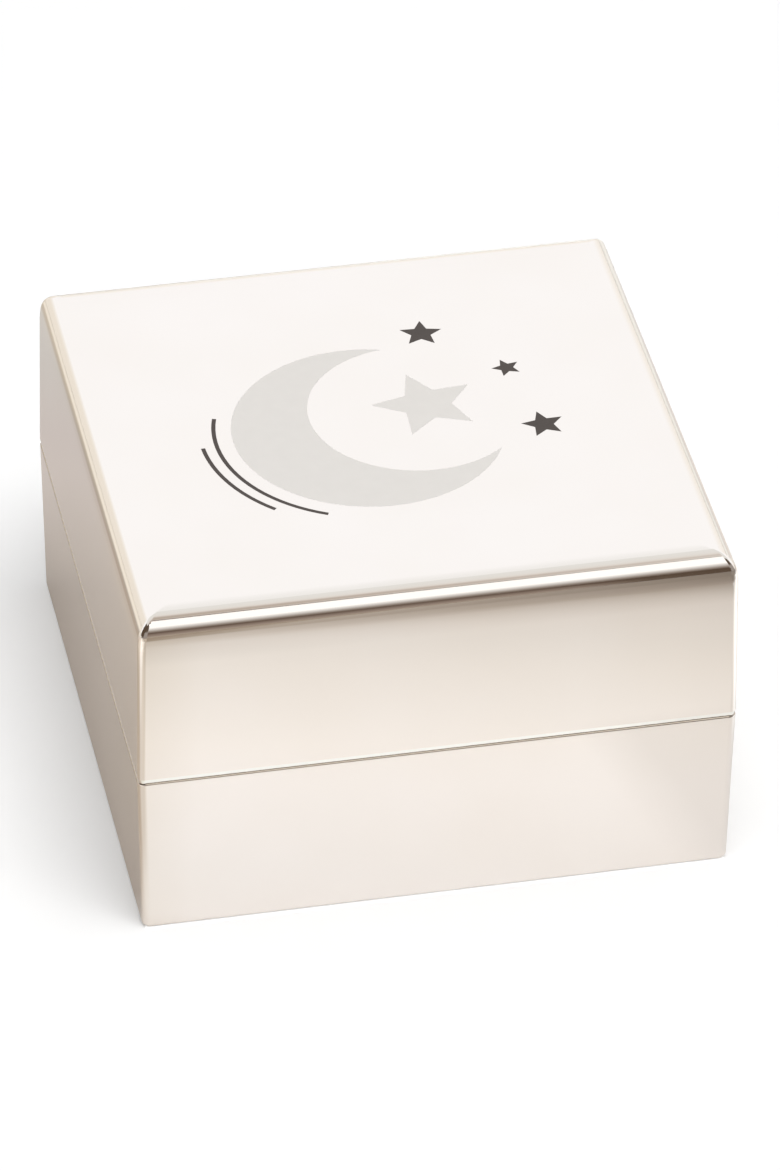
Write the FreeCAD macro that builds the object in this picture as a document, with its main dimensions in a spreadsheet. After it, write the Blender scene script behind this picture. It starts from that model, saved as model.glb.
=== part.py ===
import FreeCAD, Part
import Sketcher
import os

# A square metal keepsake box for baby teeth: a cast and plated base and lid of nearly equal height,
# joined at the back seam by a tube-and-pin box hinge, lined with fabric-covered boards and pads, with a
# felt sheet under the base and a moon-and-stars design etched into the lid and filled with enamel.
# Frame: +Z up, -Y is the front, the origin is the middle of the underside. Millimetres and degrees.

# Driving dimensions
DIMENSIONS = {
    # the two castings
    "box_width": (50.8, "outside width at the seam, left to right"),
    "box_depth": (50.8, "outside depth at the seam, front to back"),
    "base_height": (15.4, "underside to seam"),
    "lid_height": (16.0, "seam to top"),
    "draft": (0.9, "lean of the outside walls, degrees"),
    "wall": (2.0, "wall of both castings at the seam"),
    "floor": (2.4, "floor of the base, felt recess included"),
    "roof": (2.2, "top of the lid"),
    "lid_corner": (0.6, "radius of the lid's upright corners"),
    "lid_brow": (1.8, "radius of the lid's top edge"),
    "ease_rise": (2.3, "height of the strip that polishing has eased under that edge"),
    "ease_depth": (0.26, "how far the eased strip leans in at its top"),
    "ease_blend": (12.0, "radius where the eased strip runs out into the wall"),
    "base_corner": (0.7, "radius of the base's upright corners"),
    "foot_edge": (0.5, "radius of the base's lower edge"),
    "rim_edge": (0.15, "radius of the base's rim at the seam"),
    "lip_rise": (0.45, "height of the fine bevel on the lid's lower edge"),
    "lip_depth": (0.12, "how far that bevel goes in at the seam"),
    "cavity_corner": (0.6, "radius in the upright corners of both cavities"),
    # the hinge
    "hinge_length": (30.0, "barrel, end to end"),
    "barrel_radius": (1.0, "outside of the hinge tube"),
    "pin_radius": (0.5, "hinge pin"),
    "pin_clearance": (0.04, "running fit of the pin, on the radius"),
    "pin_end": (0.2, "peened end of the pin past the barrel, each side"),
    "hinge_inset": (0.5, "hinge axis in from the back face"),
    "knuckle_gap": (0.1, "play between two knuckles"),
    "swing_clearance": (0.12, "room round a knuckle in the other casting"),
    "gallery_end": (0.4, "room past each end of the barrel"),
    "stop_angle": (100.0, "opening at which the back bevels meet, degrees"),
    "stop_clearance": (0.05, "play of the bevels at the stop"),
    # the linings
    "board": (1.2, "thickness of a fabric-covered wall board"),
    "board_drop": (0.4, "boards end this far inside the rim"),
    "board_edge": (0.5, "radius of the fabric over a board's free edge"),
    "board_gap": (0.05, "play where two boards meet"),
    "floor_pad": (3.6, "height of the base cushion at its crown"),
    "roof_pad": (2.8, "height of the lid cushion at its crown"),
    "pad_crown": (0.9, "rise of a cushion from mid-side to middle"),
    "pad_corner": (1.5, "radius of a cushion's upright corners"),
    "pad_gap": (0.15, "play round a cushion"),
    "felt": (0.8, "thickness of the felt sheet"),
    "felt_margin": (1.9, "metal rim left round the felt"),
    "felt_gap": (0.1, "play round the felt"),
    # the enamel design
    "enamel": (0.25, "depth of the etched and filled design"),
    "moon_left": (1.2, "moon's middle, to the left of the lid's"),
    "moon_front": (0.7, "moon's middle, in front of the lid's"),
    "moon_radius": (11.6, "outer arc of the moon"),
    "bite_radius": (9.2, "inner arc of the moon"),
    "bite_away": (4.9, "inner arc's middle from the moon's middle"),
    "large_star": (4.7, "tip radius of the large star"),
    "large_star_shift": (1.1, "large star's middle past the inner arc's"),
    "small_star": (1.9, "tip radius of a small star"),
    "tiny_star": (1.3, "tip radius of the smallest star"),
    "star_gap": (3.2, "small stars' middles out from the moon's arc"),
    "line": (0.36, "width of a drawn line"),
    "line_gap": (1.3, "long line's distance from the moon"),
    "line_step": (1.2, "short line's distance from the long one"),
    # making
    "overrun": (1.0, "how far a cutting form passes the metal"),
}

# The hinge's knuckles from left to right, each soldered to the casting that its name starts with
KNUCKLES = ["base_knuckle_left", "lid_knuckle_left", "base_knuckle_middle", "lid_knuckle_right",
            "base_knuckle_right"]

# Angles, in degrees
FULL_TURN = 360
QUARTER_TURN = FULL_TURN / 4

# The design: each star's tip radius and distance from the moon's middle, and each line's distance
STARS = {
    "large_star_inlay": ("sizes.large_star", "(sizes.bite_away + sizes.large_star_shift)"),
    "upper_star_inlay": ("sizes.small_star", "(sizes.moon_radius + sizes.star_gap)"),
    "middle_star_inlay": ("sizes.tiny_star", "(sizes.moon_radius + sizes.star_gap)"),
    "lower_star_inlay": ("sizes.small_star", "(sizes.moon_radius + sizes.star_gap)"),
}
LINES = {
    "long_line_inlay": "(sizes.moon_radius + sizes.line_gap)",
    "short_line_inlay": "(sizes.moon_radius + sizes.line_gap + sizes.line_step)",
}
STAR_POINTS = 5
STAR_WAIST_SHARE = 0.46

# Its angles about the moon's middle from the right-hand side: the way the moon opens, each star's bearing
# and own turn, and each line's start and sweep
MOON_ANGLE = 24
STAR_ANGLES = {
    "large_star_inlay": (MOON_ANGLE, 10),
    "upper_star_inlay": (61, -8),
    "middle_star_inlay": (26, 14),
    "lower_star_inlay": (-9, 6),
}
LINE_ANGLES = {
    "long_line_inlay": (164, 80),
    "short_line_inlay": (182, 44),
}

# Formulas that several pieces share
CAVITY_WIDTH = "(sizes.box_width - 2 * sizes.wall)"
CAVITY_DEPTH = "(sizes.box_depth - 2 * sizes.wall)"
LID_TOP = "(sizes.base_height + sizes.lid_height)"
LID_CEILING = f"({LID_TOP} - sizes.roof)"
ETCH_FLOOR = f"({LID_TOP} - sizes.enamel)"
HINGE_Y = "(sizes.box_depth / 2 - sizes.hinge_inset)"
HINGE_LEFT = "(-sizes.hinge_length / 2)"
KNUCKLE_PLAY = f"({len(KNUCKLES) - 1} * sizes.knuckle_gap)"
KNUCKLE_LENGTH = f"((sizes.hinge_length - {KNUCKLE_PLAY}) / {len(KNUCKLES)})"
FOOT_TAPER = "(2 * sizes.base_height * tan(sizes.draft))"

# Which way a casting rises from the seam
UP = 1
DOWN = -1

doc = FreeCAD.newDocument("tooth_box")


def write_sizes():
    """Put the driving dimensions in the document's sheet, one alias each."""
    sheet = doc.addObject("Spreadsheet::Sheet", "sizes")
    for row, (name, (value, meaning)) in enumerate(DIMENSIONS.items(), 1):
        sheet.set(f"A{row}", meaning)
        sheet.set(f"B{row}", str(value))
        sheet.setAlias(f"B{row}", name)
    doc.recompute()


def size(formula):
    """The value of a formula, for the tests that choose edges."""
    return doc.sizes.evalExpression(formula)


def new_body(label):
    """An empty body with a name of its own."""
    body = doc.addObject("PartDesign::Body", label)
    body.Label = label
    return body


def place(item, body, plane, offset):
    """Attach a sketch or a primitive to one of its body's own planes, moved by three formulas."""
    support = next(part for part in body.Origin.OriginFeatures if part.Role == plane)
    item.AttachmentSupport = [(support, "")]
    item.MapMode = "FlatFace"
    for axis, formula in zip("xyz", offset):
        item.setExpression(f"AttachmentOffset.Base.{axis}", formula)


def new_sketch(body, name, plane="XY_Plane", offset=("0", "0", "0")):
    """An empty sketch on a plane of the body."""
    sketch = body.newObject("Sketcher::SketchObject", name)
    place(sketch, body, plane, offset)
    return sketch


def limit(sketch, formula, *constraint):
    """Add a dimension to a sketch and tie it to a formula."""
    number = sketch.addConstraint(Sketcher.Constraint(*constraint, size(formula)))
    sketch.setExpression(f"Constraints[{number}]", formula)


def draw_polygon(sketch, points):
    """A closed outline whose corners lie at pairs of formulas."""
    vectors = [FreeCAD.Vector(size(x), size(y)) for x, y in points]
    for start, end in zip(vectors, vectors[1:] + vectors[:1]):
        sketch.addGeometry(Part.LineSegment(start, end))
    for side, (x, y) in enumerate(points):
        sketch.addConstraint(Sketcher.Constraint("Coincident", (side - 1) % len(points), 2, side, 1))
        limit(sketch, x, "DistanceX", -1, 1, side, 1)
        limit(sketch, y, "DistanceY", -1, 1, side, 1)


def draw_rectangle(sketch, wide, deep):
    """A rectangle centred on the sketch's origin."""
    right = f"({wide}) / 2"
    back = f"({deep}) / 2"
    draw_polygon(sketch, [(f"-{right}", f"-{back}"), (right, f"-{back}"), (right, back), (f"-{right}", back)])


def draw_circle(sketch, radius):
    """A circle about the sketch's origin."""
    circle = sketch.addGeometry(Part.Circle(FreeCAD.Vector(), FreeCAD.Vector(0, 0, 1), size(radius)))
    sketch.addConstraint(Sketcher.Constraint("Coincident", circle, 3, -1, 1))
    limit(sketch, radius, "Radius", circle)


def extrude(body, kind, sketch, length, **settings):
    """A pad or pocket of a sketch, its length tied to a formula; a pocket has to remove something."""
    before = body.Shape.Volume if body.Tip else 0
    feature = body.newObject(f"PartDesign::{kind}", f"{sketch.Name}_{kind.lower()}")
    feature.Profile = sketch
    feature.setExpression("Length", length)
    for name, value in settings.items():
        setattr(feature, name, value)
    doc.recompute()
    if kind == "Pocket" and feature.Shape.Volume >= before:
        raise RuntimeError(f"{feature.Name} cuts nothing")
    return feature


def dress_edges(body, kind, name, amount, chosen):
    """Fillet or chamfer the edges of the body so far for which the test holds."""
    base = body.Tip
    dressing = body.newObject(f"PartDesign::{kind}", name)
    edges = [f"Edge{number}" for number, edge in enumerate(base.Shape.Edges, 1) if chosen(edge)]
    dressing.Base = (base, edges)
    dressing.setExpression("Radius" if kind == "Fillet" else "Size", amount)
    doc.recompute()
    return dressing


def is_level(item):
    """Whether an edge or a face lies level: it climbs less than the finest rounding."""
    return item.BoundBox.ZLength < size("sizes.rim_edge / 2")


def at_height(z):
    """A test for the level edges at a height."""
    return lambda edge: is_level(edge) and abs(edge.BoundBox.Center.z - size(z)) < size("sizes.rim_edge / 2")


def bevel_edges(body, name, first, second, chosen):
    """A bevel with a distance of its own on each of its two faces."""
    bevel = dress_edges(body, "Chamfer", name, first, chosen)
    bevel.ChamferType = "Two distances"
    bevel.setExpression("Size2", second)
    doc.recompute()


def make_casting(label, way, height, thickness):
    """One half of the box: a drafted block from the seam, rounded, hollowed and cut for the hinge."""
    body = new_body(label)
    seam = ("0", "0", "sizes.base_height")
    outline = new_sketch(body, f"{label}_outline", offset=seam)
    draw_rectangle(outline, "sizes.box_width", "sizes.box_depth")
    extrude(body, "Pad", outline, height, Reversed=way == DOWN)
    draft_walls(body, way)
    if way == UP:
        round_lid(body)
    else:
        round_base(body)
    cavity = new_sketch(body, f"{label}_cavity", offset=seam)
    draw_rectangle(cavity, CAVITY_WIDTH, CAVITY_DEPTH)
    extrude(body, "Pocket", cavity, f"{height} - {thickness}", Reversed=way == UP)
    inside = size(f"({CAVITY_WIDTH} + sizes.wall) / 2")
    dress_edges(body, "Fillet", f"{label}_cavity_corners", "sizes.cavity_corner",
                lambda edge: not is_level(edge) and -inside < edge.BoundBox.Center.x < inside)
    cut_stop_bevel(body, way)
    cut_hinge_gallery(body, way)
    return body


def draft_walls(body, way):
    """Lean the outside walls inwards from the seam, so that each half leaves its mould."""
    block = body.Tip
    faces = {f"Face{number}": face for number, face in enumerate(block.Shape.Faces, 1)}
    seam_face = min(faces, key=lambda name: way * faces[name].BoundBox.Center.z)
    lean = body.newObject("PartDesign::Draft", f"{body.Name}_draft")
    lean.Base = (block, [name for name, face in faces.items() if not is_level(face)])
    lean.NeutralPlane = (block, [seam_face])
    lean.Reversed = way == DOWN
    lean.setExpression("Angle", "sizes.draft")
    doc.recompute()


def round_base(body):
    """Round the base's upright corners, its foot and, finely, its rim at the seam."""
    dress_edges(body, "Fillet", "base_corners", "sizes.base_corner", lambda edge: not is_level(edge))
    dress_edges(body, "Fillet", "base_foot", "sizes.foot_edge", at_height("0"))
    dress_edges(body, "Fillet", "base_rim", "sizes.rim_edge", at_height("sizes.base_height"))


def round_lid(body):
    """Round the lid as polishing leaves it: the walls ease off under the top edge before they turn over it.
    The upright corners are tighter than that edge. A fine steep bevel runs along the lower edge."""
    bevel_edges(body, "lid_ease", "sizes.ease_rise", "sizes.ease_depth", at_height(LID_TOP))
    dress_edges(body, "Fillet", "lid_ease_blend", "sizes.ease_blend", at_height(f"{LID_TOP} - sizes.ease_rise"))
    dress_edges(body, "Fillet", "lid_brow", "sizes.lid_brow", at_height(LID_TOP))
    dress_edges(body, "Fillet", "lid_corners", "sizes.lid_corner", lambda edge: not is_level(edge))
    bevel_edges(body, "lid_lip", "sizes.lip_rise", "sizes.lip_depth", at_height("sizes.base_height"))


def cut_stop_bevel(body, way):
    """Bevel the back edge from the hinge axis outwards: the two bevels meet when the lid is open."""
    inner = f"{HINGE_Y} - sizes.stop_clearance"
    outer = "sizes.box_depth / 2 + sizes.overrun"
    run = "(sizes.hinge_inset + sizes.stop_clearance + sizes.overrun)"
    sketch = new_sketch(body, f"{body.Name}_bevel", "YZ_Plane")
    draw_polygon(sketch, [
        (inner, "sizes.base_height"),
        (inner, f"sizes.base_height - {way} * sizes.overrun"),
        (outer, f"sizes.base_height - {way} * sizes.overrun"),
        (outer, f"sizes.base_height + {way} * {run} * tan(sizes.stop_angle / 2)"),
    ])
    extrude(body, "Pocket", sketch, "sizes.box_width + sizes.overrun", SideType="Symmetric")


def knuckle_start(number):
    """Formula for the left end of a knuckle."""
    return f"({HINGE_LEFT} + {number} * ({KNUCKLE_LENGTH} + sizes.knuckle_gap))"


def cut_hinge_gallery(body, way):
    """Cut the round gallery that the hinge tubes lie in, with room round the other casting's knuckles."""
    own = "lid" if way == UP else "base"
    cuts = [("sizes.barrel_radius", f"{HINGE_LEFT} - sizes.gallery_end",
             "sizes.hinge_length + 2 * sizes.gallery_end")]
    for number, name in enumerate(KNUCKLES):
        if not name.startswith(own):
            cuts.append(("sizes.barrel_radius + sizes.swing_clearance",
                         f"{knuckle_start(number)} - sizes.knuckle_gap / 2",
                         f"{KNUCKLE_LENGTH} + sizes.knuckle_gap"))
    for radius, start, length in cuts:
        tube = body.newObject("PartDesign::SubtractiveCylinder", f"{body.Name}_gallery")
        place(tube, body, "YZ_Plane", (HINGE_Y, "sizes.base_height", start))
        tube.setExpression("Radius", radius)
        tube.setExpression("Height", length)
        doc.recompute()


def make_knuckle(number, label):
    """One tube of the hinge barrel."""
    body = new_body(label)
    left_end = (HINGE_Y, "sizes.base_height", knuckle_start(number))
    ring = new_sketch(body, f"{label}_ring", "YZ_Plane", left_end)
    draw_circle(ring, "sizes.barrel_radius")
    draw_circle(ring, "sizes.pin_radius + sizes.pin_clearance")
    extrude(body, "Pad", ring, KNUCKLE_LENGTH)
    return body


def make_pin():
    """The hinge pin, its ends peened down to a slope all round."""
    body = new_body("hinge_pin")
    section = new_sketch(body, "pin_section", "YZ_Plane",
                         (HINGE_Y, "sizes.base_height", f"{HINGE_LEFT} - sizes.pin_end"))
    draw_circle(section, "sizes.pin_radius")
    extrude(body, "Pad", section, "sizes.hinge_length + 2 * sizes.pin_end")
    dress_edges(body, "Chamfer", "pin_ends", "sizes.pin_end",
                lambda edge: edge.BoundBox.XLength < size("sizes.pin_radius"))
    return body


def make_board(label, plan, centre, bottom, height, way):
    """A fabric-covered wall board, its fabric turned over the edge nearest the seam."""
    body = new_body(label)
    outline = new_sketch(body, f"{label}_plan", offset=(*centre, bottom))
    draw_rectangle(outline, *plan)
    extrude(body, "Pad", outline, height)
    middle = size(f"{bottom} + {height} / 2")
    dress_edges(body, "Fillet", f"{label}_turn", "sizes.board_edge",
                lambda edge: is_level(edge) and (middle - edge.BoundBox.Center.z) * way > 0)
    return body


def make_boards(half, bottom, height, way):
    """The four wall boards of one half: front and back run across, the sides fit between them."""
    across = (f"{CAVITY_WIDTH} - 2 * sizes.cavity_corner", "sizes.board")
    between = ("sizes.board", f"{CAVITY_DEPTH} - 2 * sizes.board - 2 * sizes.board_gap")
    back = f"({CAVITY_DEPTH} - sizes.board) / 2"
    right = f"({CAVITY_WIDTH} - sizes.board) / 2"
    walls = {
        "front": (across, ("0", f"-{back}")),
        "back": (across, ("0", back)),
        "left": (between, (f"-{right}", "0")),
        "right": (between, (right, "0")),
    }
    return [make_board(f"{half}_{wall}_lining", plan, centre, bottom, height, way)
            for wall, (plan, centre) in walls.items()]


def make_cushion(label, bottom, height, way):
    """A pad between the boards, its face towards the seam swelling to a crown in the middle."""
    wide = f"({CAVITY_WIDTH} - 2 * sizes.board - 2 * sizes.pad_gap)"
    deep = f"({CAVITY_DEPTH} - 2 * sizes.board - 2 * sizes.pad_gap)"
    block = new_body(f"{label}_block")
    outline = new_sketch(block, f"{label}_plan", offset=("0", "0", bottom))
    draw_rectangle(outline, wide, deep)
    extrude(block, "Pad", outline, height)
    dress_edges(block, "Fillet", f"{label}_corners", "sizes.pad_corner", lambda edge: not is_level(edge))
    swell = doc.addObject("Part::Sphere", f"{label}_swell")
    radius = f"(({wide} / 2) ^ 2 + sizes.pad_crown ^ 2) / (2 * sizes.pad_crown)"
    swell.setExpression("Radius", radius)
    swell.Placement.Rotation = FreeCAD.Rotation(FreeCAD.Vector(1, 0, 0), QUARTER_TURN)
    swell.setExpression("Placement.Base.z",
                        f"{bottom} + {radius}" if way == UP else f"{bottom} + {height} - {radius}")
    cushion = doc.addObject("Part::Common", label)
    cushion.Base = block
    cushion.Tool = swell
    return cushion


def make_felt(base):
    """The felt sheet that the box stands on, and the recess for it in the base."""
    plan = [f"sizes.box_{way} - {FOOT_TAPER} - 2 * sizes.felt_margin" for way in ("width", "depth")]
    recess = new_sketch(base, "felt_recess")
    draw_rectangle(recess, *plan)
    extrude(base, "Pocket", recess, "sizes.felt", Reversed=True)
    body = new_body("base_felt")
    sheet = new_sketch(body, "felt_sheet")
    draw_rectangle(sheet, *[f"{side} - 2 * sizes.felt_gap" for side in plan])
    extrude(body, "Pad", sheet, "sizes.felt")
    return body


def moon_place(away="0", bearing=0):
    """Formulas for a place on the lid, away from the moon's middle on a bearing."""
    return f"{away} * cos({bearing}) - sizes.moon_left", f"{away} * sin({bearing}) - sizes.moon_front"


def make_moon():
    """The crescent: a disc with a smaller disc bitten out of it."""
    body = new_body("moon_inlay")
    disc = new_sketch(body, "moon_disc", offset=(*moon_place(), ETCH_FLOOR))
    draw_circle(disc, "sizes.moon_radius")
    extrude(body, "Pad", disc, "sizes.enamel")
    bite = new_sketch(body, "moon_bite", offset=(*moon_place("sizes.bite_away", MOON_ANGLE), LID_TOP))
    draw_circle(bite, "sizes.bite_radius")
    extrude(body, "Pocket", bite, "sizes.enamel")
    return body


def make_star(label, tip, away, bearing, turn):
    """A star of equal kites round its middle."""
    body = new_body(label)
    kite = new_sketch(body, f"{label}_kite", offset=(*moon_place(away, bearing), ETCH_FLOOR))
    kite.AttachmentOffset.Rotation = FreeCAD.Rotation(FreeCAD.Vector(0, 0, 1), turn)
    half_arm = FULL_TURN / STAR_POINTS / 2
    waist_x = f"{STAR_WAIST_SHARE} * {tip} * sin({half_arm})"
    waist_y = f"{STAR_WAIST_SHARE} * {tip} * cos({half_arm})"
    draw_polygon(kite, [("0", "0"), (waist_x, waist_y), ("0", tip), (f"-{waist_x}", waist_y)])
    arm = extrude(body, "Pad", kite, "sizes.enamel")
    ring = body.newObject("PartDesign::PolarPattern", f"{label}_ring")
    ring.Originals = [arm]
    ring.Axis = (kite, ["N_Axis"])
    ring.Angle = FULL_TURN
    ring.Occurrences = STAR_POINTS
    body.Tip = ring
    return body


def make_line(label, near, start, sweep):
    """A drawn line that follows the moon's outer arc."""
    body = new_body(label)
    x, y = moon_place()
    section = new_sketch(body, f"{label}_section", "XZ_Plane", (x, ETCH_FLOOR, f"-({y})"))
    section.AttachmentOffset.Rotation = FreeCAD.Rotation(FreeCAD.Vector(0, 1, 0), start)
    far = f"{near} + sizes.line"
    draw_polygon(section, [(near, "0"), (far, "0"), (far, "sizes.enamel"), (near, "sizes.enamel")])
    arc = body.newObject("PartDesign::Revolution", f"{label}_arc")
    arc.Profile = section
    arc.ReferenceAxis = (section, ["V_Axis"])
    arc.Angle = sweep
    return body


def etch_lid(casting, fills):
    """The finished lid: its casting with a recess for each enamel fill."""
    design = doc.addObject("Part::Compound", "lid_design")
    design.Links = fills
    lid = doc.addObject("Part::Cut", "lid_shell")
    lid.Base = casting
    lid.Tool = design
    return lid


def check_and_write(pieces):
    """Stop on any failed object, then write one file for each sub-part."""
    doc.recompute()
    failed = [item.Label for item in doc.Objects if {"Invalid", "Error"} & set(item.State)]
    failed += [item.Label for item in pieces if item.Shape.isNull() or not item.Shape.isValid()]
    if failed:
        raise RuntimeError(f"these objects failed: {failed}")
    os.makedirs("parts", exist_ok=True)
    for item in pieces:
        item.Shape.exportStep(f"parts/{item.Label}.step")
        print(f"{item.Label}: {len(item.Shape.Solids)} solid, {item.Shape.Volume:.3f} mm3")


write_sizes()

# The base and what it carries
base_shell = make_casting("base_shell", DOWN, "sizes.base_height", "sizes.floor")
base_felt = make_felt(base_shell)
base_boards = make_boards("base", "sizes.floor", "(sizes.base_height - sizes.floor - sizes.board_drop)", DOWN)
base_pad = make_cushion("base_floor_pad", "sizes.floor", "sizes.floor_pad", DOWN)

# The lid and what it carries
lid_casting = make_casting("lid_casting", UP, "sizes.lid_height", "sizes.roof")
inlays = [make_moon()]
inlays += [make_star(label, *star, *STAR_ANGLES[label]) for label, star in STARS.items()]
inlays += [make_line(label, near, *LINE_ANGLES[label]) for label, near in LINES.items()]
lid_shell = etch_lid(lid_casting, inlays)
lid_boards = make_boards("lid", "(sizes.base_height + sizes.board_drop)",
                         "(sizes.lid_height - sizes.roof - sizes.board_drop)", UP)
lid_pad = make_cushion("lid_ceiling_pad", f"({LID_CEILING} - sizes.roof_pad)", "sizes.roof_pad", UP)

# The hinge between them
knuckles = [make_knuckle(number, label) for number, label in enumerate(KNUCKLES)]
hinge_pin = make_pin()

check_and_write([base_shell, base_felt, *base_boards, base_pad, lid_shell, *inlays, *lid_boards, lid_pad,
                 *knuckles, hinge_pin])
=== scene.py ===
import math

import bpy
from mathutils import Matrix, Vector


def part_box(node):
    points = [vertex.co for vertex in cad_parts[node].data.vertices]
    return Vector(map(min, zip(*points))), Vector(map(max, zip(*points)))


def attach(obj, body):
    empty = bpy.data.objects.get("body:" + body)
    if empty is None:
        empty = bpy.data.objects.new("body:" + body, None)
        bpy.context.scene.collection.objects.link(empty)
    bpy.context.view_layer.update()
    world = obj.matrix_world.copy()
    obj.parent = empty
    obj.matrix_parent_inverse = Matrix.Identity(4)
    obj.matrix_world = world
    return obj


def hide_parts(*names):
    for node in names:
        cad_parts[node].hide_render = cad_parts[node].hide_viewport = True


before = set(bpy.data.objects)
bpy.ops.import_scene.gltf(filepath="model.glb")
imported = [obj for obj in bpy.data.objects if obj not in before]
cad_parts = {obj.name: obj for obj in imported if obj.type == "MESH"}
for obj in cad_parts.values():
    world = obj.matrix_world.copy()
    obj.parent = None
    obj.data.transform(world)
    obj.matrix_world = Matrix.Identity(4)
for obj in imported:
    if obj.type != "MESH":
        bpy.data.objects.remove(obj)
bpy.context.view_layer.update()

# A silver-plated keepsake box with a hinged lid, closed, on white paper under a soft light from above.
# The castings, the hinge and the enamel show as they were built. The fabric linings, the two cushions and
# the felt are modelled here. Lengths are metres, and MM turns millimetres into them.
# The origin is the middle of the underside.
MM = 0.001

# The photograph's frame and its camera, solved from the box's corners: angles in degrees, and the camera's
# distance from the origin and shift to the right and up
PHOTO_HEIGHT = 1170
FOCAL_PIXELS = 7499.5
CAMERA_AZIMUTH = -11.767
CAMERA_ELEVATION = 36.07
CAMERA_ROLL = 0.534
CAMERA_DISTANCE = 652 * MM
CAMERA_RIGHT = 1.026 * MM
CAMERA_UP = 11.505 * MM
SENSOR = 36.0
CLIP_START = 10 * MM


# Helpers for colours and nodes

def paint(code):
    """A hex sRGB colour as linear light."""
    shares = [int(code[place:place + 2], 16) / 255 for place in (1, 3, 5)]
    linear = [share / 12.92 if share <= 0.04045 else ((share + 0.055) / 1.055) ** 2.4 for share in shares]
    return (*linear, 1.0)


def per(millimetres):
    """The texture scale at which one feature is about this many millimetres across."""
    return 1 / (millimetres * MM)


def add_node(tree, kind, sockets=None, stops=(), **settings):
    """Add a node with its settings and colour stops; a socket gets a constant or another node's output."""
    made = tree.nodes.new(kind)
    for name, value in settings.items():
        setattr(made, name, value)
    for socket, value in (sockets or {}).items():
        if isinstance(value, bpy.types.NodeSocket):
            tree.links.new(value, made.inputs[socket])
        else:
            made.inputs[socket].default_value = value
    for place, (position, colour) in enumerate(stops):
        elements = made.color_ramp.elements
        stop = elements[place] if place < len(elements) else elements.new(position)
        stop.position = position
        stop.color = colour
    return made


def new_material(name):
    """An empty node material with its output."""
    material = bpy.data.materials.new(name)
    material.use_nodes = True
    tree = material.node_tree
    tree.nodes.clear()
    return material, tree, add_node(tree, "ShaderNodeOutputMaterial")


# Materials

# Polishing rolls the flat faces over towards their edges: how far in, how deep, how round at the corners
PLATE_EDGE = 25.15 * MM
ROLL_WIDTH = 3.0 * MM
ROLL_DEPTH = 0.085 * MM
ROLL_CORNER = 0.3 * MM
# It also blends the lid's walls into the strip that eases off under the top edge: between two heights, and
# how deep
WALL_ROLL = (27.2 * MM, 28.43 * MM)
WALL_ROLL_DEPTH = 0.0154 * MM
# The seam: the bevel over it is made whiter in front, a painted highlight, and a darker line of painted
# shade lies under it, narrower in front. The height that parts them lies just over the rim, so that the
# flat rims inside the seam are painted darker too.
SEAM_HEIGHT = 15.405 * MM
SEAM_HIGHLIGHT_TOP = 15.86 * MM
SEAM_HIGHLIGHT_FRONT = -25.2 * MM
SEAM_SHADE_LOW = 15.28 * MM
SEAM_SHADE_FRONT_RISE = 0.06 * MM
RIPPLE_DEPTH = 0.004 * MM


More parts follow.
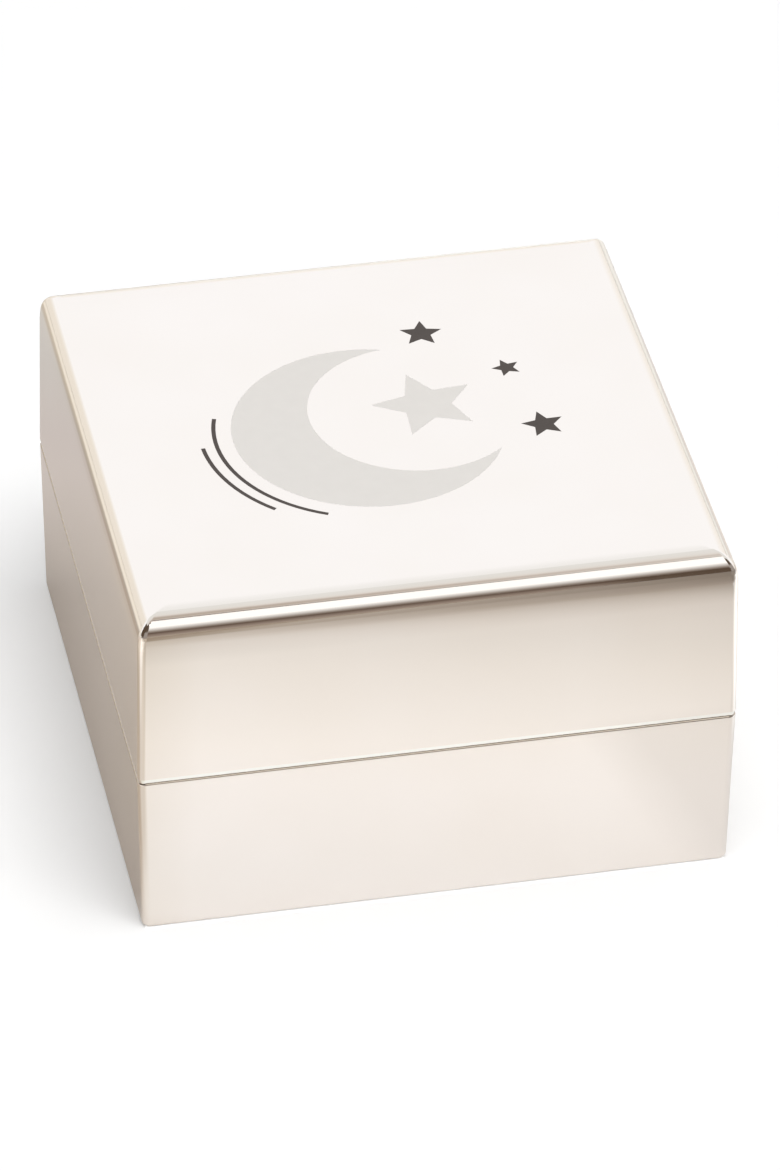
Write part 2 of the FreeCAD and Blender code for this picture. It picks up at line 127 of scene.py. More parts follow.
def make_silver_plate():
    """Silver plate on cast zinc, polished on a wheel: a warm mirror with slight haze and a faint ripple.
    The faces roll over softly beside their edges; the seam has a painted highlight over a line of painted
    shade."""
    material, tree, output = new_material("polished_silver_plate")
    place = add_node(tree, "ShaderNodeTexCoord").outputs["Object"]
    ripple = add_node(tree, "ShaderNodeTexNoise", {"Vector": place, "Scale": per(9), "Detail": 1.0})
    haze = add_node(tree, "ShaderNodeTexNoise", {"Vector": place, "Scale": per(3.5), "Detail": 3.0})
    rough = add_node(tree, "ShaderNodeMapRange", {"Value": haze.outputs["Fac"], "From Min": 0.3,
                                                  "From Max": 0.7, "To Min": 0.05, "To Max": 0.09})
    plated = add_node(tree, "ShaderNodeMix", {"Factor": ripple.outputs["Fac"], "A": paint("#F8F2EC"),
                                              "B": paint("#F5EEE6")}, data_type="RGBA")
    parts = add_node(tree, "ShaderNodeSeparateXYZ", {"Vector": place})
    over = add_node(tree, "ShaderNodeMath", {0: parts.outputs["Z"], 1: SEAM_HEIGHT},
                    operation="GREATER_THAN")
    low = add_node(tree, "ShaderNodeMath", {0: parts.outputs["Z"], 1: SEAM_HIGHLIGHT_TOP},
                   operation="LESS_THAN")
    front = add_node(tree, "ShaderNodeMath", {0: parts.outputs["Y"], 1: SEAM_HIGHLIGHT_FRONT},
                     operation="LESS_THAN")
    bevel = add_node(tree, "ShaderNodeMath", {0: over.outputs["Value"], 1: low.outputs["Value"]},
                     operation="MULTIPLY")
    # painted highlight: the front of the bevel over the seam is made whiter
    cut = add_node(tree, "ShaderNodeMath", {0: bevel.outputs["Value"], 1: front.outputs["Value"]},
                   operation="MULTIPLY")
    # painted shade: a darker line under the seam's bevel, in the gap between lid and base
    seam_shade_low = add_node(tree, "ShaderNodeMath", {0: front.outputs["Value"], 1: SEAM_SHADE_FRONT_RISE,
                                                    2: SEAM_SHADE_LOW}, operation="MULTIPLY_ADD")
    rim = add_node(tree, "ShaderNodeMath", {0: parts.outputs["Z"], 1: seam_shade_low.outputs["Value"]},
                   operation="GREATER_THAN")
    under = add_node(tree, "ShaderNodeMath", {0: rim.outputs["Value"], 1: over.outputs["Value"]},
                     operation="GREATER_THAN")
    bright = add_node(tree, "ShaderNodeMix", {"Factor": cut.outputs["Value"], "A": plated.outputs["Result"],
                                              "B": paint("#FFFEF7")}, data_type="RGBA")
    tone = add_node(tree, "ShaderNodeMix", {"Factor": under.outputs["Value"], "A": bright.outputs["Result"],
                                            "B": paint("#C3B9AC")}, data_type="RGBA")
    across = add_node(tree, "ShaderNodeMath", {0: parts.outputs["X"]}, operation="ABSOLUTE")
    along = add_node(tree, "ShaderNodeMath", {0: parts.outputs["Y"]}, operation="ABSOLUTE")
    outward = add_node(tree, "ShaderNodeMath", {0: across.outputs["Value"], 1: along.outputs["Value"],
                                                2: ROLL_CORNER}, operation="SMOOTH_MAX")
    level = add_node(tree, "ShaderNodeMapRange", {"Value": outward.outputs["Value"], "From Min": PLATE_EDGE,
                                                  "From Max": PLATE_EDGE - ROLL_WIDTH},
                     interpolation_type="SMOOTHSTEP")
    rolled = add_node(tree, "ShaderNodeBump", {"Height": level.outputs["Result"], "Strength": 1.0,
                                               "Distance": ROLL_DEPTH})
    wall = add_node(tree, "ShaderNodeMapRange", {"Value": parts.outputs["Z"], "From Min": WALL_ROLL[0],
                                                 "From Max": WALL_ROLL[1]}).outputs["Result"]
    fall = add_node(tree, "ShaderNodeMath", {0: wall, 1: wall}, operation="MULTIPLY")
    eased = add_node(tree, "ShaderNodeBump", {"Height": fall.outputs["Value"], "Strength": 1.0,
                                              "Distance": WALL_ROLL_DEPTH,
                                              "Normal": rolled.outputs["Normal"]}, invert=True)
    bump = add_node(tree, "ShaderNodeBump", {"Height": ripple.outputs["Fac"], "Strength": 1.0,
                                             "Distance": RIPPLE_DEPTH, "Normal": eased.outputs["Normal"]})
    shader = add_node(tree, "ShaderNodeBsdfPrincipled", {
        "Base Color": tone.outputs["Result"], "Metallic": 1.0, "Roughness": rough.outputs["Result"],
        "Normal": bump.outputs["Normal"]})
    tree.links.new(shader.outputs["BSDF"], output.inputs["Surface"])
    return material


def make_enamel(name, light, dark):
    """Epoxy enamel, flooded into the etched recess and cured: satin, with a fine mottle and orange peel."""
    material, tree, output = new_material(name)
    place = add_node(tree, "ShaderNodeTexCoord").outputs["Object"]
    mottle = add_node(tree, "ShaderNodeTexNoise", {"Vector": place, "Scale": per(1.2), "Detail": 4.0})
    peel = add_node(tree, "ShaderNodeTexNoise", {"Vector": place, "Scale": per(0.5), "Detail": 1.0})
    tone = add_node(tree, "ShaderNodeMix", {"Factor": mottle.outputs["Fac"], "A": paint(light),
                                            "B": paint(dark)}, data_type="RGBA")
    bump = add_node(tree, "ShaderNodeBump", {"Height": peel.outputs["Fac"], "Strength": 0.5,
                                             "Distance": 0.01 * MM})
    shader = add_node(tree, "ShaderNodeBsdfPrincipled", {
        "Base Color": tone.outputs["Result"], "Roughness": 0.42, "IOR": 1.5,
        "Normal": bump.outputs["Normal"]})
    tree.links.new(shader.outputs["BSDF"], output.inputs["Surface"])
    return material


def make_pin_steel():
    """Steel wire, drawn through a die: a grey metal with fine lines along its length."""
    material, tree, output = new_material("drawn_steel_wire")
    place = add_node(tree, "ShaderNodeTexCoord").outputs["Object"]
    # the lines are drawn out to 25 times their width
    along = add_node(tree, "ShaderNodeMapping", {"Vector": place, "Scale": (0.04, 1, 1)})
    lines = add_node(tree, "ShaderNodeTexNoise", {"Vector": along.outputs["Vector"], "Scale": per(0.08),
                                                  "Detail": 2.0})
    rough = add_node(tree, "ShaderNodeMapRange", {"Value": lines.outputs["Fac"], "To Min": 0.2,
                                                  "To Max": 0.36})
    tone = add_node(tree, "ShaderNodeMix", {"Factor": lines.outputs["Fac"], "A": paint("#C4C1BD"),
                                            "B": paint("#A9A6A2")}, data_type="RGBA")
    bump = add_node(tree, "ShaderNodeBump", {"Height": lines.outputs["Fac"], "Strength": 0.3,
                                             "Distance": 0.01 * MM})
    shader = add_node(tree, "ShaderNodeBsdfPrincipled", {
        "Base Color": tone.outputs["Result"], "Metallic": 1.0, "Roughness": rough.outputs["Result"],
        "Normal": bump.outputs["Normal"]})
    tree.links.new(shader.outputs["BSDF"], output.inputs["Surface"])
    return material


def make_velvet():
    """Cotton velvet, woven and cut to a short pile: matt, pale at a glancing angle, brushed in patches."""
    material, tree, output = new_material("cut_pile_velvet")
    place = add_node(tree, "ShaderNodeTexCoord").outputs["Object"]
    nap = add_node(tree, "ShaderNodeTexNoise", {"Vector": place, "Scale": per(7), "Detail": 3.0,
                                                "Distortion": 0.6})
    # the real pile is about 0.1 mm; it is drawn at 0.22 mm so that it shows
    pile = add_node(tree, "ShaderNodeTexNoise", {"Vector": place, "Scale": per(0.22), "Detail": 2.0})
    patch = add_node(tree, "ShaderNodeMapRange", {"Value": nap.outputs["Fac"], "From Min": 0.35,
                                                  "From Max": 0.65})
    brushed = add_node(tree, "ShaderNodeMix", {"Factor": patch.outputs["Result"], "A": paint("#B7B1AB"),
                                               "B": paint("#C6C1BB")}, data_type="RGBA")
    tufts = add_node(tree, "ShaderNodeMapRange", {"Value": pile.outputs["Fac"], "From Min": 0.3,
                                                  "From Max": 0.7, "To Min": 0.0, "To Max": 0.45})
    tone = add_node(tree, "ShaderNodeMix", {"Factor": tufts.outputs["Result"],
                                            "A": brushed.outputs["Result"],
                                            "B": paint("#8F8984")}, data_type="RGBA")
    bump = add_node(tree, "ShaderNodeBump", {"Height": pile.outputs["Fac"], "Strength": 0.6,
                                             "Distance": 0.06 * MM})
    shader = add_node(tree, "ShaderNodeBsdfPrincipled", {
        "Base Color": tone.outputs["Result"], "Roughness": 0.95, "Specular IOR Level": 0.2,
        "Sheen Weight": 0.5, "Sheen Roughness": 0.4, "Sheen Tint": paint("#F2EEE9"),
        "Normal": bump.outputs["Normal"]})
    tree.links.new(shader.outputs["BSDF"], output.inputs["Surface"])
    return material


def make_felt_wool():
    """Wool felt, pressed from loose fibres: matt, cloudy in tone, with stray fibres in all directions."""
    material, tree, output = new_material("pressed_wool_felt")
    place = add_node(tree, "ShaderNodeTexCoord").outputs["Object"]
    cloud = add_node(tree, "ShaderNodeTexNoise", {"Vector": place, "Scale": per(5), "Detail": 4.0})
    fibre = add_node(tree, "ShaderNodeTexNoise", {"Vector": place, "Scale": per(0.35), "Detail": 5.0,
                                                  "Distortion": 2.5})
    ground = add_node(tree, "ShaderNodeMix", {"Factor": cloud.outputs["Fac"], "A": paint("#6F6B67"),
                                              "B": paint("#5C5855")}, data_type="RGBA")
    stray = add_node(tree, "ShaderNodeMapRange", {"Value": fibre.outputs["Fac"], "From Min": 0.5,
                                                  "From Max": 0.75, "To Min": 0.0, "To Max": 0.6})
    tone = add_node(tree, "ShaderNodeMix", {"Factor": stray.outputs["Result"],
                                            "A": ground.outputs["Result"],
                                            "B": paint("#8E8984")}, data_type="RGBA")
    bump = add_node(tree, "ShaderNodeBump", {"Height": fibre.outputs["Fac"], "Strength": 0.7,
                                             "Distance": 0.1 * MM})
    shader = add_node(tree, "ShaderNodeBsdfPrincipled", {
        "Base Color": tone.outputs["Result"], "Roughness": 0.97, "Specular IOR Level": 0.2,
        "Sheen Weight": 0.25, "Sheen Roughness": 0.6, "Normal": bump.outputs["Normal"]})
    tree.links.new(shader.outputs["BSDF"], output.inputs["Surface"])
    return material


def dress(nodes, material):
    """Give CAD nodes their finish."""
    for name in nodes:
        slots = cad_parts[name].data.materials
        slots.clear()
        slots.append(material)


# The metalwork and the enamel design
silver_plate = make_silver_plate()
grey_enamel = make_enamel("grey_epoxy_enamel", "#E5E1DC", "#E0DCD7")
dark_enamel = make_enamel("dark_brown_epoxy_enamel", "#41362F", "#3A302A")
dress([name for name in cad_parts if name.endswith("_shell") or "_knuckle_" in name], silver_plate)
dress(["hinge_pin"], make_pin_steel())
dress(["moon_inlay", "large_star_inlay"], grey_enamel)
dress(["upper_star_inlay", "middle_star_inlay", "lower_star_inlay", "long_line_inlay", "short_line_inlay"],
      dark_enamel)


# Modelling

# Faces that look the same way agree at least this much
SAME_WAY = 0.99


def start_block(name, low, high):
    """A block between two corners."""
    bpy.ops.object.select_all(action="DESELECT")
    bpy.ops.mesh.primitive_cube_add(size=1, location=(low + high) / 2)
    block = bpy.context.object
    block.name = name
    block.scale = high - low
    bpy.ops.object.transform_apply(location=True, rotation=False, scale=True)
    return block


def select_edges(block, chosen):
    """Go to edit mode with only the edges selected whose two ends pass a test."""
    bpy.ops.object.mode_set(mode="EDIT")
    bpy.ops.mesh.select_mode(type="EDGE")
    bpy.ops.mesh.select_all(action="DESELECT")
    bpy.ops.object.mode_set(mode="OBJECT")
    points = block.data.vertices
    for edge in block.data.edges:
        edge.select = chosen(*[points[end].co for end in edge.vertices])
    bpy.ops.object.mode_set(mode="EDIT")


def select_face(block, way):
    """Go to edit mode with only the largest face that looks one way selected."""
    bpy.ops.object.mode_set(mode="EDIT")
    bpy.ops.mesh.select_mode(type="FACE")
    bpy.ops.mesh.select_all(action="DESELECT")
    bpy.ops.object.mode_set(mode="OBJECT")
    facing = [face for face in block.data.polygons if face.normal.dot(way) > SAME_WAY]
    max(facing, key=lambda face: face.area).select = True
    bpy.ops.object.mode_set(mode="EDIT")


def pick(piece):
    """Select one piece alone and make it the active one."""
    bpy.ops.object.select_all(action="DESELECT")
    piece.select_set(True)
    bpy.context.view_layer.objects.active = piece


def apply_modifier(piece, kind, **settings):
    """Add a modifier with its settings and apply it."""
    modifier = piece.modifiers.new(kind.lower(), kind)
    for name, value in settings.items():
        setattr(modifier, name, value)
    pick(piece)
    bpy.ops.object.modifier_apply(modifier=modifier.name)


def finish_piece(piece, material, body, node):
    """Smooth a finished piece, give it its finish and let it stand for its CAD node."""
    pick(piece)
    bpy.ops.object.shade_smooth()
    piece.data.materials.clear()
    piece.data.materials.append(material)
    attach(piece, body)
    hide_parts(node)


# Wall linings: velvet drawn over card, rising in two steps from its turned edge to its flat middle
LINING_EDGE = 0.35 * MM
LINING_PUFF = 0.16 * MM
LINING_STEPS = ((0.9 * MM, 0.75), (3.0 * MM, 0.25))
INWARD = {"front": Vector((0, 1, 0)), "back": Vector((0, -1, 0)),
          "left": Vector((1, 0, 0)), "right": Vector((-1, 0, 0))}


def make_lining(body, wall, velvet):
    """One wall's board: rounded where the velvet turns over, and puffed a little on the side that shows."""
    node = f"{body}_{wall}_lining"
    low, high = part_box(node)
    inward = INWARD[wall]
    low -= LINING_PUFF * Vector([min(0, share) for share in inward])
    high -= LINING_PUFF * Vector([max(0, share) for share in inward])
    board = start_block(f"{body}_{wall}_velvet", low, high)
    select_edges(board, lambda start, end: True)
    bpy.ops.mesh.bevel(offset=LINING_EDGE, segments=4, affect="EDGES")
    bpy.ops.object.mode_set(mode="OBJECT")
    select_face(board, inward)
    for width, puff_share in LINING_STEPS:
        bpy.ops.mesh.inset(thickness=width)
        bpy.ops.transform.translate(value=inward * LINING_PUFF * puff_share)
    bpy.ops.object.mode_set(mode="OBJECT")
    apply_modifier(board, "SUBSURF", levels=2, render_levels=2)
    finish_piece(board, velvet, body, node)


# Cushions: velvet over foam, swollen by simulation at ten times their size
SIM_SCALE = 10
SIM_VOXEL = 7 * MM
SIM_FRAMES = 20
SIM_PRESSURE = 4.0
CUSHION_CORNER = 1.6 * MM
CUSHION_EDGE = 0.9 * MM
CUSHION_CAP = 1.6 * MM


def swell_cushion(cushion):
    """Blow the cushion up as cloth, with its resting face held and every point's travel capped."""
    points = cushion.data.vertices
    bottom = min(point.co.z for point in points)
    held = cushion.vertex_groups.new(name="resting_face")
    held.add([point.index for point in points if point.co.z < bottom + SIM_VOXEL / 2], 1.0, "ADD")
    starts = [point.co.copy() for point in points]
    cloth = cushion.modifiers.new("cloth", "CLOTH")
    cloth.settings.use_pressure = True
    cloth.settings.uniform_pressure_force = SIM_PRESSURE
    cloth.settings.vertex_group_mass = held.name
    cloth.settings.effector_weights.gravity = 0
    for step in range(1, SIM_FRAMES + 1):
        bpy.context.scene.frame_set(step)
    pick(cushion)
    bpy.ops.object.modifier_apply(modifier=cloth.name)
    bpy.context.scene.frame_set(1)
    cap = CUSHION_CAP * SIM_SCALE
    for point, start in zip(cushion.data.vertices, starts):
        travel = point.co - start
        if travel.length > cap:
            point.co = start + travel.normalized() * cap
    cushion.vertex_groups.clear()


def make_cushion():
    """A low pillow at the simulation's size, standing on the origin, rounded at its corners and edge."""
    low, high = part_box("base_floor_pad")
    size = (high - low) * SIM_SCALE
    half = Vector((size.x / 2, size.y / 2, 0))
    cushion = start_block("base_cushion", -half, size - half)
    select_edges(cushion, lambda start, end: abs(start.z - end.z) > size.z / 2)
    bpy.ops.mesh.bevel(offset=CUSHION_CORNER * SIM_SCALE, segments=5, affect="EDGES")
    bpy.ops.object.mode_set(mode="OBJECT")
    select_edges(cushion, lambda start, end: min(start.z, end.z) > size.z / 2)
    bpy.ops.mesh.bevel(offset=CUSHION_EDGE * SIM_SCALE, segments=3, affect="EDGES")
    bpy.ops.object.mode_set(mode="OBJECT")
    apply_modifier(cushion, "REMESH", mode="VOXEL", voxel_size=SIM_VOXEL)
    swell_cushion(cushion)
    apply_modifier(cushion, "SUBSURF", levels=1, render_levels=1)
    return cushion


def fit_cushion(cushion, node, turn):
    """Bring a cushion down to the space of its CAD pad, turned about X."""
    low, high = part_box(node)
    pick(cushion)
    bpy.ops.object.origin_set(type="ORIGIN_GEOMETRY", center="BOUNDS")
    bpy.context.view_layer.update()
    cushion.scale = [wanted / now for wanted, now in zip(high - low, cushion.dimensions)]
    cushion.rotation_euler.x = turn
    cushion.location = (low + high) / 2
    bpy.ops.object.transform_apply(location=True, rotation=True, scale=True)


def copy_piece(piece, name):
    """A copy with its own mesh."""
    pick(piece)
    bpy.ops.object.duplicate()
    twin = bpy.context.object
    twin.name = name
    return twin


velvet = make_velvet()
for body in ("base", "lid"):
    for wall in INWARD:
        make_lining(body, wall, velvet)

base_cushion = make_cushion()
lid_cushion = copy_piece(base_cushion, "lid_cushion")
fit_cushion(base_cushion, "base_floor_pad", 0)
fit_cushion(lid_cushion, "lid_ceiling_pad", math.pi)
finish_piece(base_cushion, velvet, "base", "base_floor_pad")
finish_piece(lid_cushion, velvet, "lid", "lid_ceiling_pad")


# The felt under the base
FELT_EDGE = 0.15 * MM
FELT_FUZZ = 0.05 * MM
FELT_GRAIN = 0.9 * MM
FELT_CUTS = 40


def make_felt():
    """A sheet of felt, its cut edge softened and its faces slightly uneven."""
    low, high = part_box("base_felt")
    fuzz = Vector((FELT_FUZZ, FELT_FUZZ, FELT_FUZZ))
    felt = start_block("felt_sheet", low + fuzz, high - fuzz)
    select_edges(felt, lambda start, end: True)
    bpy.ops.mesh.bevel(offset=FELT_EDGE, segments=2, affect="EDGES")
    bpy.ops.mesh.select_all(action="SELECT")
    bpy.ops.mesh.subdivide(number_cuts=FELT_CUTS)
    bpy.ops.object.mode_set(mode="OBJECT")
    clouds = bpy.data.textures.new("felt_fuzz", "CLOUDS")
    clouds.noise_scale = FELT_GRAIN
    apply_modifier(felt, "DISPLACE", texture=clouds, strength=FELT_FUZZ, texture_coords="LOCAL",
                   mid_level=0.5)
    finish_piece(felt, make_felt_wool(), "base", "base_felt")


make_felt()


# The studio: a soft lamp, an even fill light and white paper
KEY_AZIMUTH = 20
KEY_ELEVATION = 74
KEY_DISTANCE = 1.3
KEY_SIZE = (0.65, 0.7)
KEY_RADIANCE = 6.3
FILL_LIGHT = (0.5, 0.5, 0.5, 1)
WHITE = (1, 1, 1, 1)
DARK = (0.10, 0.07, 0.05, 1)
FLOOR_SIZE = 6.0
PAPER_GRAIN = (0.97, 0.97, 0.97, 1)
PAPER_GLOW = 0.08
# What mirrors see of the room behind the box and over it, by the height of the line of sight
BACK_SHADES = [(0.0, (0.96, 0.93, 0.88, 1)), (0.06, (0.97, 0.95, 0.90, 1)), (0.2, (1.0, 0.99, 0.97, 1)),
               (0.4, (1.04, 1.06, 1.10, 1)), (0.61, (1.04, 1.06, 1.10, 1)), (0.66, (0.90, 0.92, 0.93, 1)),
               (0.72, (0.84, 0.86, 0.86, 1)), (0.93, (0.82, 0.82, 0.81, 1)), (0.968, (0.79, 0.77, 0.74, 1)),
               (0.982, (0.62, 0.56, 0.52, 1)), (0.99, (0.50, 0.44, 0.39, 1)), (1.0, (0.48, 0.42, 0.37, 1))]
# and of the room in front, grey low down and dark above, which starts where the line of sight leans this
# far forward
FRONT_SHADES = [(0.0, (0.32, 0.29, 0.27, 1)), (0.5, (0.36, 0.33, 0.31, 1)), (0.62, (0.12, 0.09, 0.07, 1)),
                (1.0, DARK)]
FRONT_START = -0.13
FRONT_FULL = -0.20
# The paper as mirrors see it, with painted light and shade: bands across its depth, in mm from the middle
# of the box
BAND_TILT = 0.2
BAND_SHADES = [(-76, (0.77, 0.74, 0.71, 1)), (-70, (0.80, 0.77, 0.74, 1)), (-65, (0.84, 0.815, 0.785, 1)),
               (-60, (0.91, 0.885, 0.855, 1)), (-48, (1.02, 1.0, 0.98, 1)), (-40, (1.03, 1.02, 1.02, 1)),
               (-28, (0.99, 0.99, 1.0, 1)), (-22, (0.99, 0.99, 1.0, 1)), (-15, (0.75, 0.685, 0.635, 1)),
               (0, (0.73, 0.665, 0.605, 1)), (33, (0.675, 0.615, 0.565, 1)), (54, (0.64, 0.585, 0.56, 1)),
               (68, (0.65, 0.62, 0.59, 1)), (110, (0.86, 0.83, 0.78, 1))]
# its painted fading into the dark in front of the lamp, along a more slanting line,
FAR_TILT = 0.8
FAR_SHADES = [(-125, (0.61, 0.56, 0.51, 1)), (-112, (0.60, 0.55, 0.51, 1)), (-100, (0.61, 0.565, 0.52, 1)),
              (-94, (0.67, 0.63, 0.59, 1)), (-88, (0.75, 0.715, 0.68, 1)), (-83, (0.82, 0.79, 0.76, 1)),
              (-77, (0.91, 0.89, 0.87, 1)), (-68, WHITE)]
FAR_START = (-61 * MM, -77 * MM)
# its painted falling off to both sides,
SIDE_SHADES = [(-82, (1.18, 1.16, 1.11, 1)), (-68, (0.98, 0.95, 0.90, 1)), (-60, (0.78, 0.73, 0.66, 1)),
               (-41, (0.75, 0.70, 0.63, 1)), (-33, (0.90, 0.88, 0.84, 1)), (-26, WHITE), (8, WHITE),
               (16, (0.98, 0.975, 0.97, 1)), (25, (0.93, 0.92, 0.91, 1)), (34, (0.93, 0.92, 0.91, 1)),
               (48, (1.35, 1.4, 1.44, 1))]
# and painted shade in a corner far out on the right
SHADED_CORNER = (0.10, 0.08, 0.06, 1)
CORNER_WIDTH = (-25 * MM, 30 * MM)
CORNER_DEPTH = (-95 * MM, -125 * MM)
CORNER_SHADE = 0.65
# A fainter painted shade lies near the box on the right, along a slanting line
NEAR_TILT = 0.25
NEAR_WIDTH = (27 * MM, 32.5 * MM)
NEAR_DEPTH = (-48 * MM, -45.5 * MM)
NEAR_SHADE = 0.11
# Painted light: a strip of paper along the front foot glows for the camera and hides the contact shadow
# there, so that the paper stays white right up to the front foot, as in the photograph
FOOT_MIDDLE = -24.95 * MM
FOOT_HALF_DEPTH = 0.35 * MM
FOOT_HALF_WIDTH = 24.9 * MM
FOOT_PAINTED_LIGHT = 0.5
# Cards round the box that only mirrors see: azimuth in degrees, distance, width, and shades by elevation
CARDS = {
    # a pale one beside the camera,
    "pale_camera_side": (5.8, 1.2, 0.244, [
        (0, (0.39, 0.33, 0.28, 1)), (7, (0.30, 0.24, 0.20, 1)), (13, (0.23, 0.18, 0.15, 1)),
        (18, (0.15, 0.11, 0.09, 1)), (21, (0.14, 0.10, 0.08, 1))]),
    # a black flag to the right of it,
    "black_flag": (20.8, 1.22, 0.395, [(0, DARK), (21, DARK)]),
    # a glowing white card over both, painted light that only mirrors see,
    "glowing_white_card": (16, 1.3, 0.553, [
        (21, (0.15, 0.11, 0.09, 1)), (25, (0.28, 0.24, 0.21, 1)), (29, (0.40, 0.36, 0.33, 1)),
        (32.5, (0.55, 0.52, 0.50, 1)), (37.4, (0.75, 0.74, 0.73, 1)), (41, (0.90, 0.90, 0.89, 1)),
        (43, (1.02, 1.04, 1.05, 1)), (46, (1.2, 1.2, 1.2, 1)), (75.2, (1.2, 1.2, 1.2, 1))]),
    # a dark corner of the room on the left,
    "dark_corner": (-72, 1.2, 1.17, [(8, DARK), (62, DARK)]),
    # and a cream wall behind on the left
    "cream_wall": (-148, 1.2, 1.07, [
        (0, (0.90, 0.86, 0.79, 1)), (15, (0.91, 0.87, 0.80, 1)), (22, WHITE)]),
}


def make_world():
    """Even light from all round, and white behind everything. Mirrors see a room, pale behind the box and
    darker in front of it."""
    world = bpy.data.worlds.new("studio_walls")
    bpy.context.scene.world = world
    world.use_nodes = True
    tree = world.node_tree
    tree.nodes.clear()
    way = add_node(tree, "ShaderNodeTexCoord").outputs["Generated"]
    parts = add_node(tree, "ShaderNodeSeparateXYZ", {"Vector": way})
    back = add_node(tree, "ShaderNodeValToRGB", {"Fac": parts.outputs["Z"]}, BACK_SHADES)
    front = add_node(tree, "ShaderNodeValToRGB", {"Fac": parts.outputs["Z"]}, FRONT_SHADES)
    forward = add_node(tree, "ShaderNodeMapRange", {"Value": parts.outputs["Y"], "From Min": FRONT_START,
                                                    "From Max": FRONT_FULL})
    room = add_node(tree, "ShaderNodeMix", {"Factor": forward.outputs["Result"], "A": back.outputs["Color"],
                                            "B": front.outputs["Color"]}, data_type="RGBA")
    path = add_node(tree, "ShaderNodeLightPath")
    # what a mirror shows, but not the light that it throws on matt things
    shown = add_node(tree, "ShaderNodeMath", {0: path.outputs["Is Glossy Ray"],
                                              1: path.outputs["Diffuse Depth"]}, operation="GREATER_THAN")
    seen = add_node(tree, "ShaderNodeMix", {"Factor": path.outputs["Is Camera Ray"], "A": FILL_LIGHT,
                                            "B": WHITE}, data_type="RGBA")
    colour = add_node(tree, "ShaderNodeMix", {"Factor": shown.outputs["Value"], "A": seen.outputs["Result"],
                                              "B": room.outputs["Result"]}, data_type="RGBA")
    light = add_node(tree, "ShaderNodeBackground", {"Color": colour.outputs["Result"], "Strength": 1.0})
    output = add_node(tree, "ShaderNodeOutputWorld")
    tree.links.new(light.outputs["Background"], output.inputs["Surface"])


def direction(azimuth, elevation):
    """The way from the box to a place in the studio: azimuth 0 is in front, 90 to the right."""
    turn, rise = math.radians(azimuth), math.radians(elevation)
    return Vector((math.sin(turn) * math.cos(rise), -math.cos(turn) * math.cos(rise), math.sin(rise)))


def add_key_light():
    """A soft lamp over the box, a little in front and to the right. Mirrors don't see it."""
    wide, tall = KEY_SIZE
    way = direction(KEY_AZIMUTH, KEY_ELEVATION)
    bpy.ops.object.light_add(type="AREA", location=way * KEY_DISTANCE)
    lamp = bpy.context.object
    lamp.name = "overhead_softbox"
    lamp.rotation_euler = way.to_track_quat("Z", "Y").to_euler()
    lamp.data.shape = "RECTANGLE"
    lamp.data.size = wide
    lamp.data.size_y = tall
    lamp.data.energy = KEY_RADIANCE * math.pi * wide * tall
    lamp.visible_camera = False
    lamp.visible_glossy = False


def add_card(name, azimuth, distance, wide, shades):
    """A card that faces the box and that only mirrors see. It has a shade for each elevation."""
    low, high = math.radians(shades[0][0]), math.radians(shades[-1][0])
    middle, half = (low + high) / 2, (high - low) / 2
    way = direction(azimuth, math.degrees(middle))
    bpy.ops.mesh.primitive_plane_add(size=1)
    card = bpy.context.object
    card.name = name
    card.scale = (wide, 2 * distance * math.tan(half), 1)
    card.rotation_euler = way.to_track_quat("Z", "Y").to_euler()
    card.location = way * distance
    bpy.ops.object.transform_apply(location=True, rotation=True, scale=True)
    material, tree, output = new_material(name)
    place = add_node(tree, "ShaderNodeTexCoord").outputs["UV"]
    height = add_node(tree, "ShaderNodeSeparateXYZ", {"Vector": place}).outputs["Y"]
    stops = [(0.5 + math.tan(math.radians(elevation) - middle) / math.tan(half) / 2, shade)
             for elevation, shade in shades]
    shade = add_node(tree, "ShaderNodeValToRGB", {"Fac": height}, stops)
    glow = add_node(tree, "ShaderNodeEmission", {"Color": shade.outputs["Color"], "Strength": 1.0})
    tree.links.new(glow.outputs["Emission"], output.inputs["Surface"])
    card.data.materials.append(material)
    card.visible_camera = False
    card.visible_diffuse = False
    card.visible_shadow = False
    card.visible_transmission = False


def add_shade_bands(tree, place, way, shades):
    """Bands of shade across the paper: a place's distance along one way, and the colour there."""
    start, end = shades[0][0], shades[-1][0]
    along = add_node(tree, "ShaderNodeVectorMath", {0: place, 1: way},
                     operation="DOT_PRODUCT").outputs["Value"]
    share = add_node(tree, "ShaderNodeMapRange", {"Value": along, "From Min": start * MM,
                                                  "From Max": end * MM})
    stops = [((distance - start) / (end - start), shade) for distance, shade in shades]
    colour = add_node(tree, "ShaderNodeValToRGB", {"Fac": share.outputs["Result"]}, stops).outputs["Color"]
    return along, colour


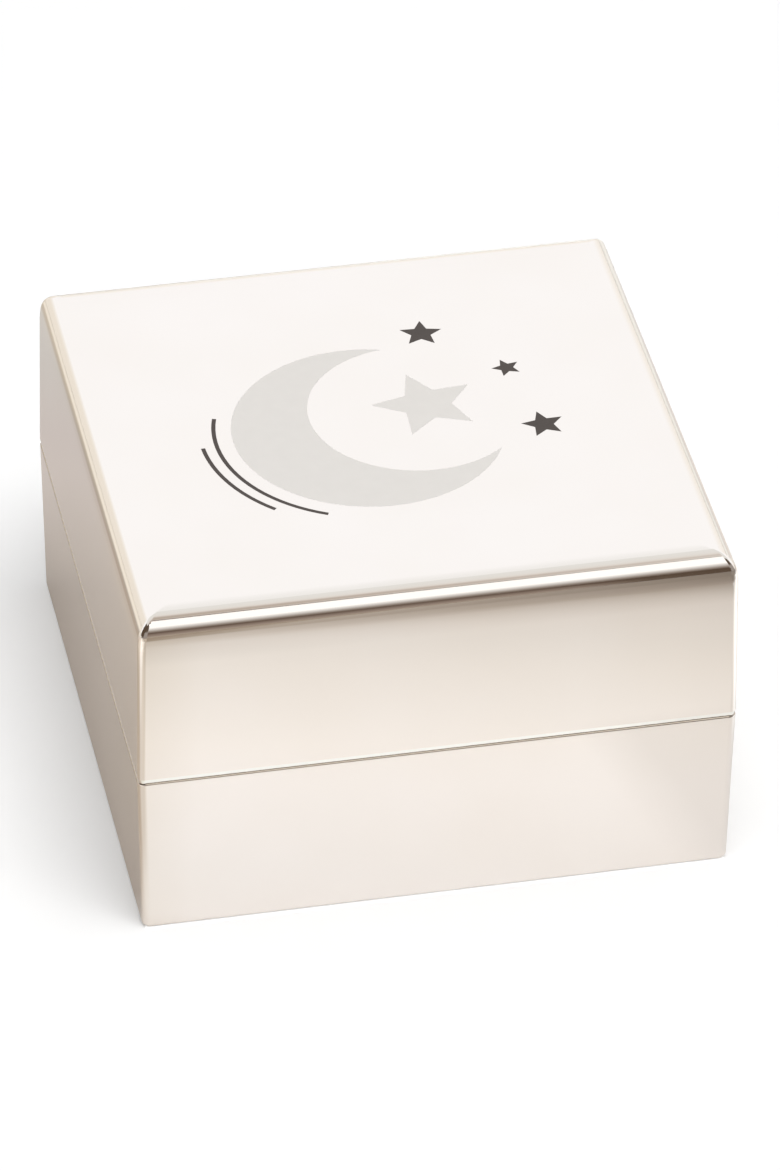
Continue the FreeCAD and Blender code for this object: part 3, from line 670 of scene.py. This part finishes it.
def add_floor():
    """White paper, smooth and matt. In the metal it shows painted light and shade,
    brightest in front of the box and fading outwards.
    """
    bpy.ops.mesh.primitive_plane_add(size=FLOOR_SIZE)
    floor = bpy.context.object
    floor.name = "paper_floor"
    material, tree, output = new_material("white_paper")
    place = add_node(tree, "ShaderNodeTexCoord").outputs["Object"]
    grain = add_node(tree, "ShaderNodeTexNoise", {"Vector": place, "Scale": per(2.5), "Detail": 5.0})
    tone = add_node(tree, "ShaderNodeMix", {"Factor": grain.outputs["Fac"], "A": WHITE, "B": PAPER_GRAIN},
                    data_type="RGBA").outputs["Result"]
    # painted light and shade on the paper that only mirrors see
    _, bands = add_shade_bands(tree, place, (-BAND_TILT, 1, 0), BAND_SHADES)
    side, sides = add_shade_bands(tree, place, (1, BAND_TILT, 0), SIDE_SHADES)
    far, fading = add_shade_bands(tree, place, (-FAR_TILT, 1, 0), FAR_SHADES)
    lit = add_node(tree, "ShaderNodeMix", {"Factor": 1.0, "A": bands, "B": sides},
                   data_type="RGBA", blend_type="MULTIPLY").outputs["Result"]
    spot = add_node(tree, "ShaderNodeSeparateXYZ", {"Vector": place})
    beyond = add_node(tree, "ShaderNodeMapRange", {"Value": spot.outputs["Y"], "From Min": FAR_START[0],
                                                   "From Max": FAR_START[1]}).outputs["Result"]
    faded = add_node(tree, "ShaderNodeMix", {"Factor": beyond, "A": lit, "B": fading},
                     data_type="RGBA", blend_type="MULTIPLY").outputs["Result"]
    right = add_node(tree, "ShaderNodeMapRange", {"Value": side, "From Min": CORNER_WIDTH[0],
                                                  "From Max": CORNER_WIDTH[1], "To Max": CORNER_SHADE})
    deep = add_node(tree, "ShaderNodeMapRange", {"Value": far, "From Min": CORNER_DEPTH[0],
                                                 "From Max": CORNER_DEPTH[1]})
    corner = add_node(tree, "ShaderNodeMath", {0: right.outputs["Result"], 1: deep.outputs["Result"]},
                      operation="MULTIPLY")
    slant = add_node(tree, "ShaderNodeVectorMath", {0: place, 1: (1, -NEAR_TILT, 0)},
                     operation="DOT_PRODUCT").outputs["Value"]
    near_right = add_node(tree, "ShaderNodeMapRange", {"Value": slant, "From Min": NEAR_WIDTH[0],
                                                       "From Max": NEAR_WIDTH[1], "To Max": NEAR_SHADE})
    near = add_node(tree, "ShaderNodeMapRange", {"Value": spot.outputs["Y"], "From Min": NEAR_DEPTH[0],
                                                 "From Max": NEAR_DEPTH[1]})
    patch = add_node(tree, "ShaderNodeMath", {0: near_right.outputs["Result"], 1: near.outputs["Result"]},
                     operation="MULTIPLY")
    shaded = add_node(tree, "ShaderNodeMath", {0: corner.outputs["Value"], 1: patch.outputs["Value"]},
                      operation="MAXIMUM")
    mirrored = add_node(tree, "ShaderNodeMix", {"Factor": shaded.outputs["Value"], "A": faded,
                                                "B": SHADED_CORNER}, data_type="RGBA").outputs["Result"]
    path = add_node(tree, "ShaderNodeLightPath")
    shown = add_node(tree, "ShaderNodeMath", {0: path.outputs["Is Glossy Ray"],
                                              1: path.outputs["Diffuse Depth"]},
                     operation="GREATER_THAN").outputs["Value"]
    colour = add_node(tree, "ShaderNodeMix", {"Factor": shown, "A": tone, "B": mirrored},
                      data_type="RGBA").outputs["Result"]
    paper = add_node(tree, "ShaderNodeBsdfDiffuse", {"Color": colour})
    # painted light: the strip along the front foot glows for the camera
    before = add_node(tree, "ShaderNodeMath", {0: spot.outputs["Y"], 1: FOOT_MIDDLE, 2: FOOT_HALF_DEPTH},
                      operation="COMPARE").outputs["Value"]
    between = add_node(tree, "ShaderNodeMath", {0: spot.outputs["X"], 1: 0.0, 2: FOOT_HALF_WIDTH},
                       operation="COMPARE").outputs["Value"]
    foot = add_node(tree, "ShaderNodeMath", {0: before, 1: between}, operation="MULTIPLY").outputs["Value"]
    white = add_node(tree, "ShaderNodeMath", {0: foot, 1: FOOT_PAINTED_LIGHT, 2: PAPER_GLOW},
                     operation="MULTIPLY_ADD").outputs["Value"]
    seen = add_node(tree, "ShaderNodeMath", {0: path.outputs["Is Camera Ray"], 1: white},
                    operation="MULTIPLY").outputs["Value"]
    glow = add_node(tree, "ShaderNodeEmission", {"Color": WHITE, "Strength": seen})
    both = add_node(tree, "ShaderNodeAddShader", {0: paper.outputs["BSDF"], 1: glow.outputs["Emission"]})
    tree.links.new(both.outputs["Shader"], output.inputs["Surface"])
    floor.data.materials.append(material)


def add_camera():
    """The photograph's own camera."""
    azimuth, roll = math.radians(CAMERA_AZIMUTH), math.radians(CAMERA_ROLL)
    back = direction(CAMERA_AZIMUTH, CAMERA_ELEVATION)
    level = Vector((math.cos(azimuth), math.sin(azimuth), 0))
    upright = back.cross(level)
    right = math.cos(roll) * level + math.sin(roll) * upright
    up = math.cos(roll) * upright - math.sin(roll) * level
    bpy.ops.object.camera_add()
    camera = bpy.context.object
    place = CAMERA_RIGHT * right + CAMERA_UP * up + CAMERA_DISTANCE * back
    turn = Matrix((right, up, back)).transposed().to_4x4()
    camera.matrix_world = Matrix.Translation(place) @ turn
    camera.data.sensor_fit = "AUTO"
    camera.data.sensor_width = SENSOR
    camera.data.lens = SENSOR * FOCAL_PIXELS / PHOTO_HEIGHT
    camera.data.clip_start = CLIP_START
    bpy.context.scene.camera = camera


bpy.ops.object.select_all(action="DESELECT")
make_world()
add_floor()
add_key_light()
for card_name, card_values in CARDS.items():
    add_card(card_name, *card_values)
add_camera()
bpy.context.scene.view_settings.view_transform = "Standard"
